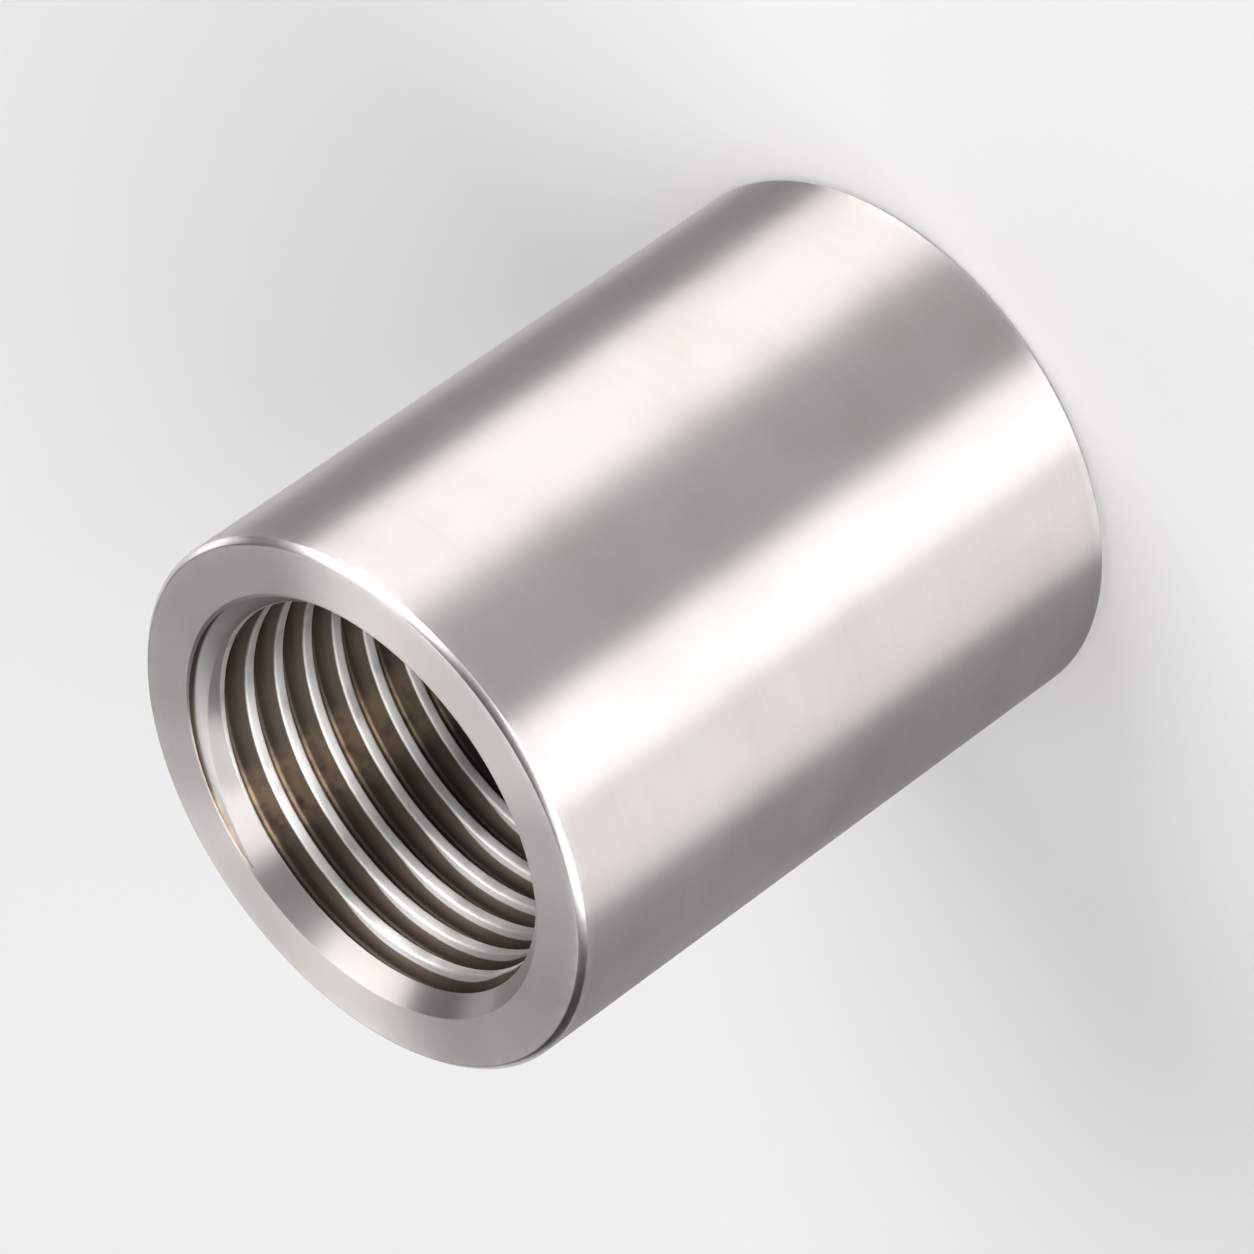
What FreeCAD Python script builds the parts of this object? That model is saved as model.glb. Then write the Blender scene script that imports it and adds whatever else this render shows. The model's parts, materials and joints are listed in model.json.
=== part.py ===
import FreeCAD, Part
import os
import Sketcher

# Pipe socket: a plain sleeve turned from bar and tapped right through, which joins two threaded pipes in line.
# It stands on its lower end face: +Z runs up its axis, and the origin is the centre of that face.
# The bore is drawn as it is drilled for the tap, before the thread is cut.

# Driving dimensions, in millimetres and degrees, for a half-inch parallel pipe thread.
SIZES = {
    "overall_length": 34.0,
    "thread_major_diameter": 20.955,
    "thread_depth": 0.9775,
    "wall_over_thread": 2.75,
    "mouth_clearance": 0.05,
    "countersink_angle": 90.0,
    "rim_chamfer": 0.3,
}

# What follows from them, as expressions on the sheet's cells.
THREAD_RADIUS = "sizes.thread_major_diameter / 2"
BORE_RADIUS = f"{THREAD_RADIUS} - sizes.thread_depth"
MOUTH_RADIUS = f"{THREAD_RADIUS} + sizes.mouth_clearance"
OUTER_RADIUS = f"{THREAD_RADIUS} + sizes.wall_over_thread"
MOUTH_DEPTH = f"(({MOUTH_RADIUS}) - ({BORE_RADIUS})) / tan(sizes.countersink_angle / 2)"

FULL_TURN = 360.0


def make_sheet(doc):
    sheet = doc.addObject("Spreadsheet::Sheet", "sizes")
    for row, (name, value) in enumerate(SIZES.items(), start=1):
        sheet.set(f"A{row}", name)
        sheet.set(f"B{row}", str(value))
        sheet.setAlias(f"B{row}", name)
    doc.recompute()
    return sheet


def origin_plane(body, role):
    return next(plane for plane in body.Origin.OriginFeatures if plane.Role == role)


def draw_wall_section(body, sheet):
    """The wall cut through on one side of the axis: eight straight edges, from the bore round to the lower mouth."""

    def measure(expression):
        return float(sheet.evalExpression(expression))

    length = sheet.overall_length
    chamfer = sheet.rim_chamfer
    bore = measure(BORE_RADIUS)
    mouth = measure(MOUTH_RADIUS)
    outer = measure(OUTER_RADIUS)
    depth = measure(MOUTH_DEPTH)

    corners = [
        (bore, depth),
        (bore, length - depth),
        (mouth, length),
        (outer - chamfer, length),
        (outer, length - chamfer),
        (outer, chamfer),
        (outer - chamfer, 0),
        (mouth, 0),
    ]
    section = body.newObject("Sketcher::SketchObject", "wall_section")
    section.AttachmentSupport = [(origin_plane(body, "XZ_Plane"), "")]
    section.MapMode = "FlatFace"

    starts = [FreeCAD.Vector(radius, height, 0) for radius, height in corners]
    ends = starts[1:] + starts[:1]
    edges = [section.addGeometry(Part.LineSegment(*points)) for points in zip(starts, ends)]
    (bore_wall, upper_countersink, upper_face, upper_chamfer,
     outer_wall, lower_chamfer, lower_face, lower_countersink) = edges

    first, last = 1, 2
    origin = (-1, 1)
    level_axis = -1

    def relate(kind, *what):
        return section.addConstraint(Sketcher.Constraint(kind, *what))

    def size(kind, name, value, expression, *what):
        number = relate(kind, *what, value)
        section.renameConstraint(number, name)
        section.setExpression(f"Constraints.{name}", expression)

    for edge, following in zip(edges, edges[1:] + edges[:1]):
        relate("Coincident", edge, last, following, first)
    relate("Vertical", bore_wall)
    relate("Vertical", outer_wall)
    relate("Horizontal", upper_face)
    relate("PointOnObject", lower_face, first, level_axis)
    relate("PointOnObject", lower_face, last, level_axis)
    relate("Vertical", upper_face, first, lower_face, last)
    relate("Vertical", upper_face, last, lower_face, first)
    relate("Equal", upper_countersink, lower_countersink)
    relate("Equal", upper_chamfer, lower_chamfer)

    size("DistanceY", "length", length, "sizes.overall_length", *origin, upper_face, first)
    size("DistanceX", "bore_radius", bore, BORE_RADIUS, *origin, bore_wall, first)
    size("DistanceX", "mouth_radius", mouth, MOUTH_RADIUS, *origin, upper_face, first)
    size("DistanceX", "outer_radius", outer, OUTER_RADIUS, *origin, outer_wall, first)
    size("DistanceY", "mouth_depth", depth, MOUTH_DEPTH, upper_countersink, first, upper_countersink, last)
    size("DistanceX", "rim_width", chamfer, "sizes.rim_chamfer", upper_chamfer, first, upper_chamfer, last)
    size("DistanceY", "rim_height", chamfer, "sizes.rim_chamfer", upper_chamfer, last, upper_chamfer, first)
    return section


def make_socket(doc, sheet):
    body = doc.addObject("PartDesign::Body", "socket")
    body.Label = "socket"
    section = draw_wall_section(body, sheet)
    turning = body.newObject("PartDesign::Revolution", "turned_wall")
    turning.Profile = section
    turning.ReferenceAxis = (section, ["V_Axis"])
    turning.Angle = FULL_TURN
    body.Placement = FreeCAD.Placement()
    doc.recompute()
    if not section.FullyConstrained:
        raise RuntimeError("the wall section is not fully constrained")
    return body


def check_built(doc, sub_parts):
    for thing in doc.Objects:
        if {"Invalid", "Error"} & set(thing.State):
            raise RuntimeError(f"{thing.Label} did not build: {thing.State}")
    for part in sub_parts:
        if part.Shape.isNull() or not part.Shape.isValid():
            raise RuntimeError(f"{part.Label} has no valid shape")


def main():
    doc = FreeCAD.newDocument("pipe_socket")
    sheet = make_sheet(doc)
    sub_parts = [make_socket(doc, sheet)]
    check_built(doc, sub_parts)
    os.makedirs("parts", exist_ok=True)
    for part in sub_parts:
        part.Shape.exportStep(f"parts/{part.Label}.step")
        print(part.Label, "solids", len(part.Shape.Solids), "volume", round(part.Shape.Volume, 3))


main()
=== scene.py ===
import json
import math

import bmesh
import bpy
from mathutils import Matrix, Quaternion, Vector


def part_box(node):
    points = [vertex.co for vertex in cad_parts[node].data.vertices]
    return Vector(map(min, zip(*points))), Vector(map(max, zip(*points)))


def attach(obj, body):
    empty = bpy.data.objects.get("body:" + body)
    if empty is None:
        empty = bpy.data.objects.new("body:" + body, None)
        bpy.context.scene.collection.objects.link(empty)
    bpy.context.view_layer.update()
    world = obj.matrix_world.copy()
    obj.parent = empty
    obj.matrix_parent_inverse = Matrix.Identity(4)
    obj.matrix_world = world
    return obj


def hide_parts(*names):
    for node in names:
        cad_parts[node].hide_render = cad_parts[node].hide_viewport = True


# A short steel pipe socket, turned from bar and tapped right through, standing on one end.

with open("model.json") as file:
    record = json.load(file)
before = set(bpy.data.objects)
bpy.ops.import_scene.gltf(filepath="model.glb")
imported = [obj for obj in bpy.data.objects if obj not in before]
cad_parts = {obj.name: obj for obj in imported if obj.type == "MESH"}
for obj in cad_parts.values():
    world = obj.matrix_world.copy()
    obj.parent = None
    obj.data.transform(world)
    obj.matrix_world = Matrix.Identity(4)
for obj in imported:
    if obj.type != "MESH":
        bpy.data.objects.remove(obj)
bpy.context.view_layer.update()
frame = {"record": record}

# Sizes are in millimetres. The wall and the bore come from the frame.
MM = 0.001
SOCKET_LOW, SOCKET_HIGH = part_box("socket")
MOUNTS = {mount["name"]: mount for mount in frame["record"]["mounts"]}
OUTER_RADIUS = min(SOCKET_HIGH.x, SOCKET_HIGH.y) / MM
LENGTH = (SOCKET_HIGH.z - SOCKET_LOW.z) / MM
BORE_RADIUS = MOUNTS["upper_thread"]["dims"]["r_mm"]
MIDDLE = Vector((0, 0, LENGTH * MM / 2))

# The half-inch pipe thread. Rounding takes a sixth of the sharp form's height off the roots.
PITCH = 1.814
MAJOR_DIAMETER = 20.955
THREAD_ANGLE = 55
FLANK_ANGLE = math.radians(THREAD_ANGLE / 2)
SHARP_HEIGHT = PITCH / 2 / math.tan(FLANK_ANGLE)
TRUNCATION = SHARP_HEIGHT / 6
MAJOR_RADIUS = MAJOR_DIAMETER / 2
SHARP_RADIUS = MAJOR_RADIUS + TRUNCATION
ROOT_ROUNDING = TRUNCATION / (1 / math.sin(FLANK_ANGLE) - 1)

# The crests are as the drill left them, a little rounded. Up to the bright depth they are bare steel,
# painted brighter as a painted highlight.
CREST_ROUNDING = 0.2
CREST_BRIGHT_DEPTH = 0.03

# Where the thread starts: the height of a crest, seen along +X. The tap starts some spare turns lower.
CREST_HEIGHT = 0.05
SPARE_TURNS = 4

# The countersinks, the pilot hole that the tap opens up, and the chamfers round the rims.
MOUTH_CLEARANCE = 0.05
MOUTH_RADIUS = MAJOR_RADIUS + MOUTH_CLEARANCE
PILOT_ALLOWANCE = 1.0
PILOT_RADIUS = BORE_RADIUS - PILOT_ALLOWANCE
RIM_CHAMFER = 0.3

# How far edges are broken, and how near a ring of points lies on each side, to keep walls and faces flat.
RIM_BREAK = 0.04
MOUTH_BREAK = 0.015
EDGE_SUPPORT = 0.1

# Facets of the turned wall, of each turn of the thread, and of its roundings.
WALL_FACETS = 192
TURN_FACETS = 96
CREST_FACETS = 4
ROOT_FACETS = 9

# Edges that bend more than this are sharp, and points nearer to each other than this are one.
SHARP_ANGLE = math.radians(28)
SAME_POINT = 1e-4

# How far a face's normal points up or down: more on the end faces, and less on the upright wall.
END_FACE_LIFT = 0.9
WALL_LIFT = 0.1

# Bright stainless steel: clean, faintly stained, rubbed bright along the rims, and painted near-white on
# the crests as a painted highlight.
STEEL_COLOR = (0.565, 0.531, 0.518, 1.0)
STAINED_COLOR = (0.49, 0.45, 0.432, 1.0)
RUBBED_COLOR = (0.60, 0.583, 0.573, 1.0)
PAINTED_CREST_HIGHLIGHT_COLOR = (0.92, 0.895, 0.87, 1.0)
RUBBED_REACH = 0.8

# Tool marks: how much faster they change outwards than upwards, and a quarter turn, from along to across.
MARK_SLANT = 1.7
ACROSS_MARKS = 0.25

# The thread is painted dark: a brown tint of dried cutting oil with painted shade on the flanks, darker
# painted shade in the roots, and one paler run that is a painted glint.
FLANK_OIL_AND_SHADE_COLOR = (0.15, 0.118, 0.095, 1.0)
ROOT_OIL_AND_SHADE_COLOR = (0.092, 0.07, 0.056, 1.0)
# The paler run along the bore is a painted glint, where the flanks would mirror a lamp.
PAINTED_GLINT_COLOR = (0.25, 0.183, 0.127, 1.0)
PAINTED_GLINT_AZIMUTH = 166

# On one side of the bore bare steel is painted further down the flanks: a painted highlight that widens the
# crests there.
PAINTED_HIGHLIGHT_AZIMUTH = 228
PAINTED_HIGHLIGHT_DEPTH = 0.25

# The camera of the photograph: where it stands from the socket's middle, and how far it is turned over.
VIEW_AZIMUTH = 0.0
VIEW_ELEVATION = 33.48
VIEW_ROLL = -125.16
VIEW_DISTANCE = 406.06 * MM
VIEW_LENS = 264.1
VIEW_AIM_RIGHT = -0.035 * MM
VIEW_AIM_UP = -0.345 * MM
SENSOR_WIDTH = 36.0
CLIP_START = 0.01
CLIP_END = 20.0

# The studio, in metres: a wide pale floor, a dim room, and soft lamps all at one distance.
FLOOR_COLOR = (0.57, 0.57, 0.57, 1.0)
FLOOR_RADIUS = 18.0
FLOOR_SIDES = 64
ROOM_LEVEL = 0.02
LAMP_DISTANCE = 3.0

# Each lamp's azimuth, elevation, width and height, in degrees as the socket sees them, and its radiance.
LAMPS = {
    "side_lamp": (71, 28, 49, 56, 4.85),
    "fill_lamp": (17, 24, 28, 48, 0.9),
    "front_lamp": (-25, 22, 34, 44, 7.0),
    "weak_lamp": (-65, 26, 38, 52, 3.55),
    "back_lamp": (178, 32, 40, 26, 0.7),
    "top_lamp": (160, 63, 34, 38, 2.1),
    "rear_lamp": (-136, 50, 40, 26, 0.9),
    "low_lamp": (137, 8, 18, 16, 2.4),
}


def compass(azimuth, elevation):
    """A direction from the socket's middle: azimuth 0 is the camera's side, and 90 is +X."""
    turn = math.radians(azimuth)
    lift = math.radians(elevation)
    return Vector((
        math.sin(turn) * math.cos(lift),
        -math.cos(turn) * math.cos(lift),
        math.sin(lift),
    ))


class Shade:
    """An output of a node tree. Arithmetic on it adds Math nodes, and node() adds any other."""

    def __init__(self, tree, socket=None):
        self.tree = tree
        self.socket = socket

    def node(self, kind, settings=None, inputs=None, output=0):
        made = self.tree.nodes.new(kind)
        for name, value in (settings or {}).items():
            setattr(made, name, value)
        for name, value in (inputs or {}).items():
            if isinstance(value, Shade):
                self.tree.links.new(value.socket, made.inputs[name])
            else:
                made.inputs[name].default_value = value
        return Shade(self.tree, made.outputs[output] if made.outputs else None)

    def math(self, operation, *values):
        return self.node("ShaderNodeMath", {"operation": operation}, dict(enumerate(values)))

    def __add__(self, other):
        return self.math("ADD", self, other)

    def __radd__(self, other):
        return self.math("ADD", other, self)

    def __sub__(self, other):
        return self.math("SUBTRACT", self, other)

    def __rsub__(self, other):
        return self.math("SUBTRACT", other, self)

    def __mul__(self, other):
        return self.math("MULTIPLY", self, other)

    def __rmul__(self, other):
        return self.math("MULTIPLY", other, self)

    def __truediv__(self, other):
        return self.math("DIVIDE", self, other)

    def __rtruediv__(self, other):
        return self.math("DIVIDE", other, self)

    def __pow__(self, other):
        return self.math("POWER", self, other)

    def __abs__(self):
        return self.math("ABSOLUTE", self)

    def larger(self, other):
        return self.math("MAXIMUM", self, other)

    def mix(self, color, other):
        """The mix of two colours, with this value as its factor."""
        return self.node("ShaderNodeMix", {"data_type": "RGBA"}, {0: self, 6: color, 7: other}, 2)

    def ramp(self, low, high):
        """A smooth step from 0 to 1 as this value goes from low to high."""
        return self.node(
            "ShaderNodeMapRange",
            {"interpolation_type": "SMOOTHSTEP"},
            {"Value": self, "From Min": low, "From Max": high},
        )

    def noise(self, detail):
        """Noise from 0 to 1 at this vector."""
        return self.node("ShaderNodeTexNoise", inputs={"Vector": self, "Scale": 1.0, "Detail": detail})


class LathePlace:
    """Where a point of the socket lies, in millimetres, as the lathe sees it: its radius and its height."""

    def __init__(self, shade):
        self.shade = shade
        point = shade.node("ShaderNodeTexCoord", output="Object")
        self.x, self.y, self.height = (
            shade.node("ShaderNodeSeparateXYZ", inputs={"Vector": point}, output=axis) * (1 / MM)
            for axis in "XYZ"
        )
        self.radius = (self.x * self.x + self.y * self.y) ** 0.5

    def vector(self, x, y, z):
        return self.shade.node("ShaderNodeCombineXYZ", inputs={"X": x, "Y": y, "Z": z})

    def clouds(self, size):
        """Soft blotches."""
        scale = 1 / size
        return self.vector(self.x * scale, self.y * scale, self.height * scale).noise(2.0)

    def marks(self, width, length):
        """Tool marks: noise drawn out round the axis. The slant gives them to walls, cones and faces."""
        slant = self.radius * MARK_SLANT + self.height
        return self.vector(self.x * (1 / length), self.y * (1 / length), slant * (1 / width)).noise(3.0)

    def from_mouth(self):
        """How deep below the nearer end."""
        return LENGTH / 2 - abs(self.height - LENGTH / 2)

    def towards(self, azimuth, full, none):
        """1 within some degrees of a compass azimuth, down to 0 at more degrees from it."""
        heading = compass(azimuth, 0)
        facing = (self.x * heading.x + self.y * heading.y) / self.radius
        return facing.ramp(math.cos(math.radians(none)), math.cos(math.radians(full)))

    def near_edge(self, radius, inset, reach):
        """1 on the edge of each end at a radius, down to 0 at a distance from it."""
        outwards = self.radius - radius
        inwards = self.from_mouth() - inset
        distance = (outwards * outwards + inwards * inwards) ** 0.5
        return 1 - distance.ramp(0, reach)


def emptied_tree(owner):
    """The node tree of a new material or world, with no nodes in it."""
    owner.use_nodes = True
    owner.node_tree.nodes.clear()
    return Shade(owner.node_tree)


def lathe_material(name):
    material = bpy.data.materials.new(name)
    return material, LathePlace(emptied_tree(material))


def steel_surface(place, color, roughness, marks, mark_depth, spread):
    """Steel with tool marks round the axis. The spread draws its gloss out across the marks."""
    shade = place.shade
    normal = shade.node(
        "ShaderNodeBump",
        inputs={"Strength": 1.0, "Distance": mark_depth * MM, "Height": marks},
    )
    surface = shade.node(
        "ShaderNodeBsdfPrincipled",
        inputs={
            "Metallic": 1.0,
            "Base Color": color,
            "Roughness": roughness,
            "Anisotropic": spread,
            "Anisotropic Rotation": ACROSS_MARKS,
            "Normal": normal,
        },
    )
    shade.node("ShaderNodeOutputMaterial", inputs={"Surface": surface})


def stained_steel(place):
    """The colour of clean steel with faint stains, rubbed bright where hands and benches touch the rims."""
    stains = place.clouds(6.0).ramp(0.35, 0.75) * 0.55 + place.marks(0.3, 14.0) * 0.45
    rim = place.near_edge(OUTER_RADIUS - RIM_CHAMFER / 2, RIM_CHAMFER / 2, RUBBED_REACH)
    rubbed = rim * place.clouds(0.7).ramp(0.3, 0.6)
    return rubbed.mix(stains.mix(STEEL_COLOR, STAINED_COLOR), RUBBED_COLOR)


def turned_wall_steel():
    material, place = lathe_material("turned_wall_steel")
    roughness = 0.41 + 0.05 * place.clouds(4.0) + 0.04 * place.marks(0.8, 20.0)
    marks = place.marks(0.16, 9.0)
    steel_surface(place, stained_steel(place), roughness, marks, mark_depth=0.006, spread=1.0)
    return material


def faced_end_steel():
    material, place = lathe_material("faced_end_steel")
    roughness = 0.3 + 0.04 * place.clouds(3.0) + 0.04 * place.marks(0.6, 12.0)
    marks = place.marks(0.14, 7.0)
    steel_surface(place, stained_steel(place), roughness, marks, mark_depth=0.006, spread=0.95)
    return material


def chamfered_steel():
    material, place = lathe_material("chamfered_steel")
    roughness = 0.26 + 0.02 * place.clouds(1.5) + 0.02 * place.marks(0.3, 6.0)
    marks = place.marks(0.12, 5.0)
    steel_surface(place, stained_steel(place), roughness, marks, mark_depth=0.001, spread=0.0)
    return material


def countersunk_steel():
    material, place = lathe_material("countersunk_steel")
    roughness = 0.46 + 0.04 * place.clouds(2.0) + 0.05 * place.marks(0.5, 8.0)
    marks = place.marks(0.18, 5.0)
    steel_surface(place, stained_steel(place), roughness, marks, mark_depth=0.008, spread=1.0)
    return material


def bored_crest_steel():
    material, place = lathe_material("bored_crest_steel")
    # The crests are painted near-white, a painted highlight where they would catch the light.
    color = place.clouds(2.0).ramp(0.2, 0.6).mix(RUBBED_COLOR, PAINTED_CREST_HIGHLIGHT_COLOR)
    roughness = 0.51 + 0.08 * place.marks(0.3, 6.0)
    marks = place.marks(0.12, 4.0)
    steel_surface(place, color, roughness, marks, mark_depth=0.004, spread=0.8)
    return material


def tapped_thread_steel():
    """Flanks and roots painted dark: a brown tint of dried oil with painted shade, darker in the roots.
    Near the mouths the painted dark is left in the roots alone.
    """
    material, place = lathe_material("tapped_thread_steel")
    depth = place.radius - BORE_RADIUS
    # Painted highlight: on one side, bare steel reaches further down the flanks.
    painted_highlight_widening = PAINTED_HIGHLIGHT_DEPTH * place.towards(PAINTED_HIGHLIGHT_AZIMUTH, 11.5, 35)
    off_crest = (depth - painted_highlight_widening + 0.04 * place.clouds(0.8)).ramp(0.04, 0.12)
    off_mouth = place.from_mouth().ramp(0.4, 1.4)
    in_root = depth.ramp(0.82, 0.95)
    # Where the thread is painted dark: oil tint and painted shade together.
    oiled_and_shaded = off_crest * off_mouth.larger(in_root)
    # The oil colour is also painted shade: it grows darker the deeper into the groove.
    oil_and_shade = (depth + 0.3 * place.clouds(1.5)).ramp(0.4, 0.9).mix(FLANK_OIL_AND_SHADE_COLOR, ROOT_OIL_AND_SHADE_COLOR)
    # A painted glint: a paler brown run along the bore at one azimuth.
    painted_glint = place.towards(PAINTED_GLINT_AZIMUTH, 3.6, 12.8) * place.clouds(0.8).ramp(0.2, 0.6)
    color = oiled_and_shaded.mix(RUBBED_COLOR, painted_glint.mix(oil_and_shade, PAINTED_GLINT_COLOR))
    roughness = 0.42 + 0.1 * place.marks(0.25, 4.0)
    marks = place.marks(0.12, 3.0)
    steel_surface(place, color, roughness, marks, mark_depth=0.006, spread=0.5)
    return material


STEEL_FINISHES = (
    turned_wall_steel,
    faced_end_steel,
    chamfered_steel,
    countersunk_steel,
    bored_crest_steel,
    tapped_thread_steel,
)
TURNED, FACED, CHAMFERED, COUNTERSUNK, BORED, TAPPED = range(len(STEEL_FINISHES))


def draw_profile(bm, profile, closed):
    """Draws points of radius and height with edges between them, ready to be spun round the axis."""
    points = [bm.verts.new((radius, 0, height)) for radius, height in profile]
    following = points[1:] + points[:1] if closed else points[1:]
    edges = [bm.edges.new(pair) for pair in zip(points, following)]
    return points + edges


def face_radius(face):
    return math.hypot(*face.calc_center_median().xy)


def tidy_shell(bm):
    bmesh.ops.remove_doubles(bm, verts=bm.verts, dist=SAME_POINT)
    bmesh.ops.recalc_face_normals(bm, faces=bm.faces)


def new_object(name, data):
    """A new object of a mesh, lamp or camera, in the scene."""
    made = bpy.data.objects.new(name, data)
    bpy.context.scene.collection.objects.link(made)
    return made


def mesh_object(name, bm):
    mesh = bpy.data.meshes.new(name)
    bm.to_mesh(mesh)
    bm.free()
    return new_object(name, mesh)


def break_edges(bm, least_radius, most_radius, width):
    """Rounds off the sharp rings between two radii."""
    rings = []
    for edge in bm.edges:
        radius = math.hypot(*edge.verts[0].co.xy)
        if edge.calc_face_angle() > SHARP_ANGLE and least_radius - width < radius < most_radius + width:
            rings.append(edge)
    bmesh.ops.bevel(bm, geom=rings, offset=width, affect="EDGES", segments=2, profile=0.5, material=-1)


def turned_blank():
    """The wall as it leaves the lathe, before it is tapped, with a pilot hole and two countersinks."""
    pilot_depth = MOUTH_RADIUS - PILOT_RADIUS
    upper_end = [
        (PILOT_RADIUS, LENGTH - pilot_depth),
        (MOUTH_RADIUS - EDGE_SUPPORT, LENGTH - EDGE_SUPPORT),
        (MOUTH_RADIUS, LENGTH),
        (MOUTH_RADIUS + EDGE_SUPPORT, LENGTH),
        (OUTER_RADIUS - RIM_CHAMFER - EDGE_SUPPORT, LENGTH),
        (OUTER_RADIUS - RIM_CHAMFER, LENGTH),
        (OUTER_RADIUS, LENGTH - RIM_CHAMFER),
        (OUTER_RADIUS, LENGTH - RIM_CHAMFER - EDGE_SUPPORT),
    ]
    lower_end = [(radius, LENGTH - height) for radius, height in reversed(upper_end)]
    bm = bmesh.new()
    bmesh.ops.spin(
        bm,
        geom=draw_profile(bm, upper_end + lower_end, closed=True),
        cent=(0, 0, 0),
        axis=(0, 0, 1),
        angle=math.tau,
        steps=WALL_FACETS,
        use_merge=True,
    )
    tidy_shell(bm)
    for face in bm.faces:
        lift = abs(face.normal.z)
        if lift > END_FACE_LIFT:
            face.material_index = FACED
        elif face_radius(face) < MOUTH_RADIUS:
            face.material_index = COUNTERSUNK
        elif lift > WALL_LIFT:
            face.material_index = CHAMFERED
        else:
            face.material_index = TURNED
    break_edges(bm, MOUTH_RADIUS, MOUTH_RADIUS, MOUTH_BREAK)
    break_edges(bm, OUTER_RADIUS - RIM_CHAMFER, OUTER_RADIUS, RIM_BREAK)
    return mesh_object("turned_blank", bm)


def rounded(corner, before, after, radius, facets):
    """The arc that rounds off a corner of a profile, as points."""
    corner, before, after = Vector(corner), Vector(before), Vector(after)
    back = (before - corner).normalized()
    ahead = (after - corner).normalized()
    half = back.angle(ahead) / 2
    middle = corner + (back + ahead).normalized() * (radius / math.sin(half))
    first = corner + back * (radius / math.tan(half)) - middle
    last = corner + ahead * (radius / math.tan(half)) - middle
    return [middle + radius * first.slerp(last, step / facets) for step in range(facets + 1)]


def tap_profile():
    """One pitch of the thread, from crest to crest: flat crests, straight flanks and a round root."""
    half_crest = PITCH / 2 - (SHARP_RADIUS - BORE_RADIUS) * math.tan(FLANK_ANGLE)
    first = (BORE_RADIUS, -PITCH / 2)
    lower = (BORE_RADIUS, -PITCH / 2 + half_crest)
    root = (SHARP_RADIUS, 0)
    upper = (BORE_RADIUS, PITCH / 2 - half_crest)
    last = (BORE_RADIUS, PITCH / 2)
    return [
        first,
        *rounded(lower, first, root, CREST_ROUNDING, CREST_FACETS),
        *rounded(root, lower, upper, ROOT_ROUNDING, ROOT_FACETS),
        *rounded(upper, root, last, CREST_ROUNDING, CREST_FACETS),
        last,
    ]


def thread_tap():
    """The tool that cuts the thread: a right-hand helix, cut off flat a pitch beyond each end."""
    turns = math.ceil(LENGTH / PITCH + SPARE_TURNS)
    start = CREST_HEIGHT + PITCH / 2 - SPARE_TURNS * PITCH
    profile = [(radius, height + start) for radius, height in tap_profile()]
    bm = bmesh.new()
    bmesh.ops.spin(
        bm,
        geom=draw_profile(bm, profile, closed=False),
        cent=(0, 0, 0),
        axis=(0, 0, 1),
        dvec=(0, 0, PITCH / TURN_FACETS),
        angle=math.tau,
        steps=TURN_FACETS,
    )
    first_turn = [*bm.verts, *bm.edges, *bm.faces]
    for turn in range(1, turns):
        copied = bmesh.ops.duplicate(bm, geom=first_turn)["geom"]
        moved = [item for item in copied if isinstance(item, bmesh.types.BMVert)]
        bmesh.ops.translate(bm, verts=moved, vec=(0, 0, PITCH * turn))
    bmesh.ops.remove_doubles(bm, verts=bm.verts, dist=SAME_POINT)
    for height, side in ((-PITCH, -1), (LENGTH + PITCH, 1)):
        bmesh.ops.bisect_plane(
            bm,
            geom=[*bm.verts, *bm.edges, *bm.faces],
            plane_co=(0, 0, height),
            plane_no=(0, 0, side),
            clear_outer=True,
        )
    bmesh.ops.holes_fill(bm, edges=[edge for edge in bm.edges if edge.is_boundary], sides=0)
    tidy_shell(bm)
    for face in bm.faces:
        face.material_index = BORED if face_radius(face) < BORE_RADIUS + CREST_BRIGHT_DEPTH else TAPPED
    return mesh_object("thread_tap", bm)


def cut_into_triangles(mesh):
    """Well-shaped triangles all over, so that none is left without area where the thread runs out."""
    bm = bmesh.new()
    bm.from_mesh(mesh)
    bmesh.ops.dissolve_degenerate(bm, edges=bm.edges, dist=SAME_POINT)
    bmesh.ops.triangulate(bm, faces=bm.faces, quad_method="BEAUTY", ngon_method="BEAUTY")
    bm.to_mesh(mesh)
    bm.free()


def threaded_socket():
    """The finished socket: the blank with the thread cut through it."""
    blank = turned_blank()
    tap = thread_tap()
    for finish in STEEL_FINISHES:
        blank.data.materials.append(finish())
    tapping = blank.modifiers.new("tapping", "BOOLEAN")
    tapping.object = tap
    tapping.operation = "DIFFERENCE"
    tapping.solver = "EXACT"
    depsgraph = bpy.context.evaluated_depsgraph_get()
    mesh = bpy.data.meshes.new_from_object(blank.evaluated_get(depsgraph))
    for helper in (blank, tap):
        bpy.data.objects.remove(helper)
    cut_into_triangles(mesh)
    mesh.transform(Matrix.Scale(MM, 4))
    mesh.name = "threaded_socket"
    for face in mesh.polygons:
        face.use_smooth = True
    mesh.set_sharp_from_angle(angle=SHARP_ANGLE)
    socket = new_object("threaded_socket", mesh)
    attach(socket, "root")
    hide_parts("socket")


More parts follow.
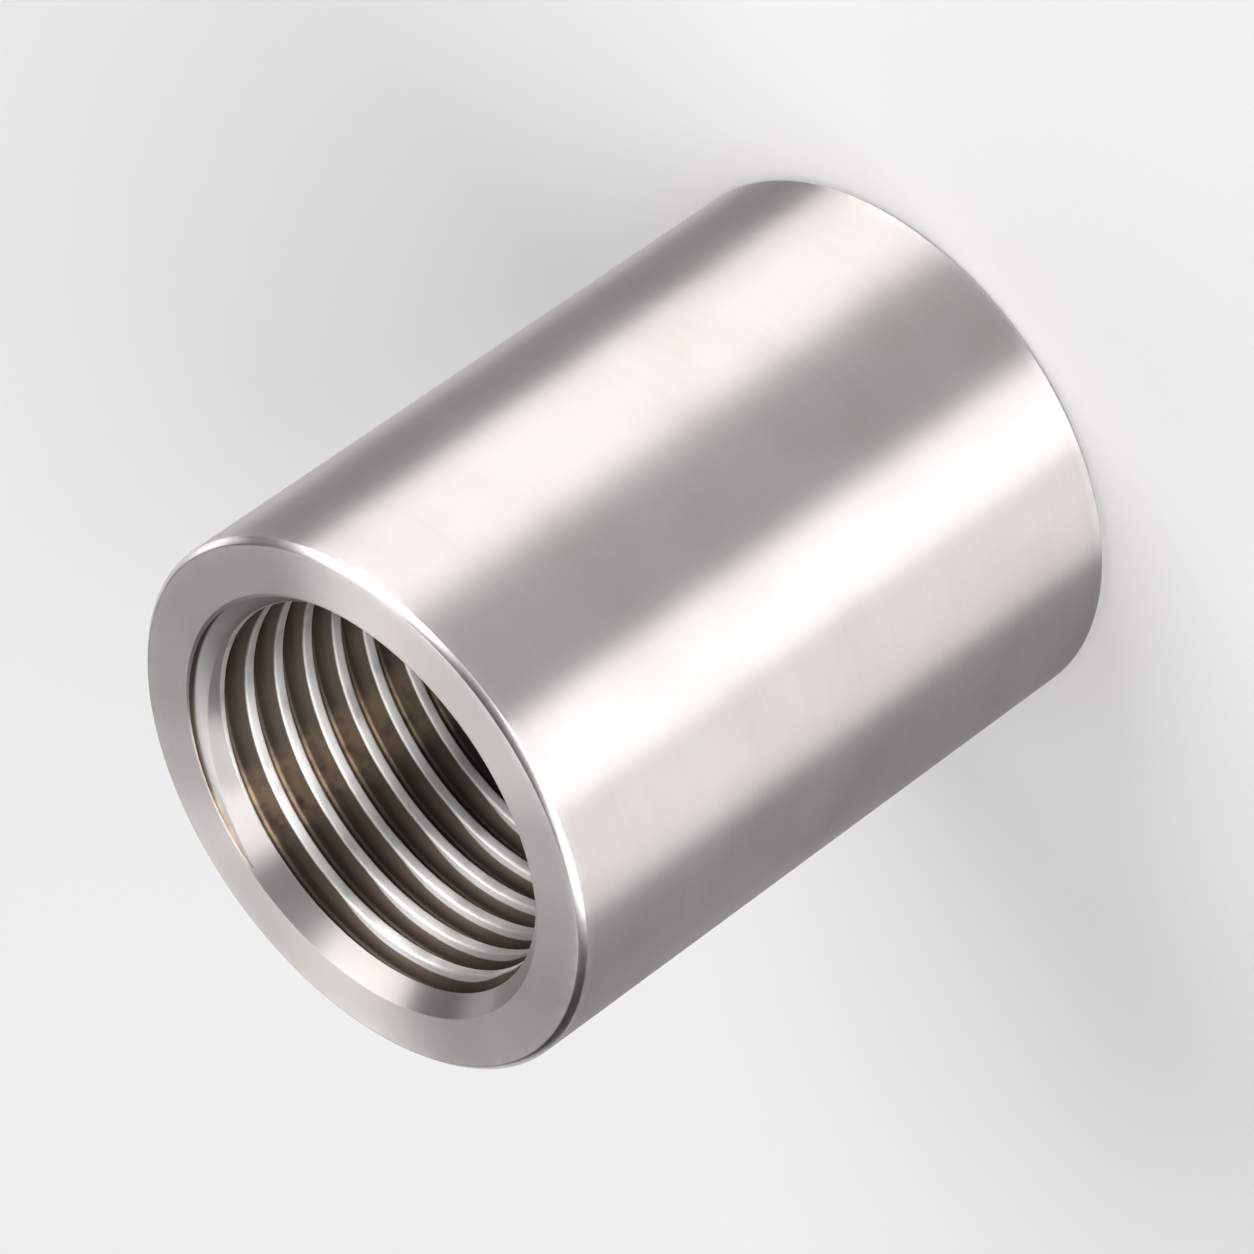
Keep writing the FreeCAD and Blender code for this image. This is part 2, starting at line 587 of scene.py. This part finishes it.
def pale_floor():
    bm = bmesh.new()
    bmesh.ops.create_circle(bm, cap_ends=True, segments=FLOOR_SIDES, radius=FLOOR_RADIUS)
    floor = mesh_object("pale_floor", bm)
    material = bpy.data.materials.new("pale_floor")
    shade = emptied_tree(material)
    surface = shade.node(
        "ShaderNodeBsdfPrincipled",
        inputs={"Base Color": FLOOR_COLOR, "Roughness": 0.9, "Specular IOR Level": 0.0},
    )
    shade.node("ShaderNodeOutputMaterial", inputs={"Surface": surface})
    floor.data.materials.append(material)


def soft_lamp(name, azimuth, elevation, width, height, radiance):
    """A flat soft lamp that faces the socket."""
    lamp = bpy.data.lights.new(name, "AREA")
    lamp.shape = "RECTANGLE"
    lamp.size = 2 * LAMP_DISTANCE * math.tan(math.radians(width / 2))
    lamp.size_y = 2 * LAMP_DISTANCE * math.tan(math.radians(height / 2))
    lamp.energy = radiance * math.pi * lamp.size * lamp.size_y
    holder = new_object(name, lamp)
    towards = compass(azimuth, elevation)
    holder.location = MIDDLE + towards * LAMP_DISTANCE
    holder.rotation_mode = "QUATERNION"
    holder.rotation_quaternion = towards.to_track_quat("Z", "Y")


def dim_room():
    world = bpy.data.worlds.new("dim_room")
    shade = emptied_tree(world)
    glow = shade.node(
        "ShaderNodeBackground",
        inputs={"Color": (ROOM_LEVEL, ROOM_LEVEL, ROOM_LEVEL, 1.0), "Strength": 1.0},
    )
    shade.node("ShaderNodeOutputWorld", inputs={"Surface": glow})
    bpy.context.scene.world = world


def photo_camera():
    camera = bpy.data.cameras.new("photo_camera")
    camera.lens = VIEW_LENS
    camera.sensor_width = SENSOR_WIDTH
    camera.clip_start = CLIP_START
    camera.clip_end = CLIP_END
    holder = new_object("photo_camera", camera)
    towards = compass(VIEW_AZIMUTH, VIEW_ELEVATION)
    turned = towards.to_track_quat("Z", "Y") @ Quaternion((0, 0, 1), math.radians(VIEW_ROLL))
    aim = Vector((VIEW_AIM_RIGHT, VIEW_AIM_UP, 0))
    holder.rotation_mode = "QUATERNION"
    holder.rotation_quaternion = turned
    holder.location = MIDDLE + towards * VIEW_DISTANCE + turned @ aim
    bpy.context.scene.camera = holder


threaded_socket()
pale_floor()
for lamp_name, lamp_values in LAMPS.items():
    soft_lamp(lamp_name, *lamp_values)
dim_room()
photo_camera()
bpy.context.scene.view_settings.view_transform = "Standard"
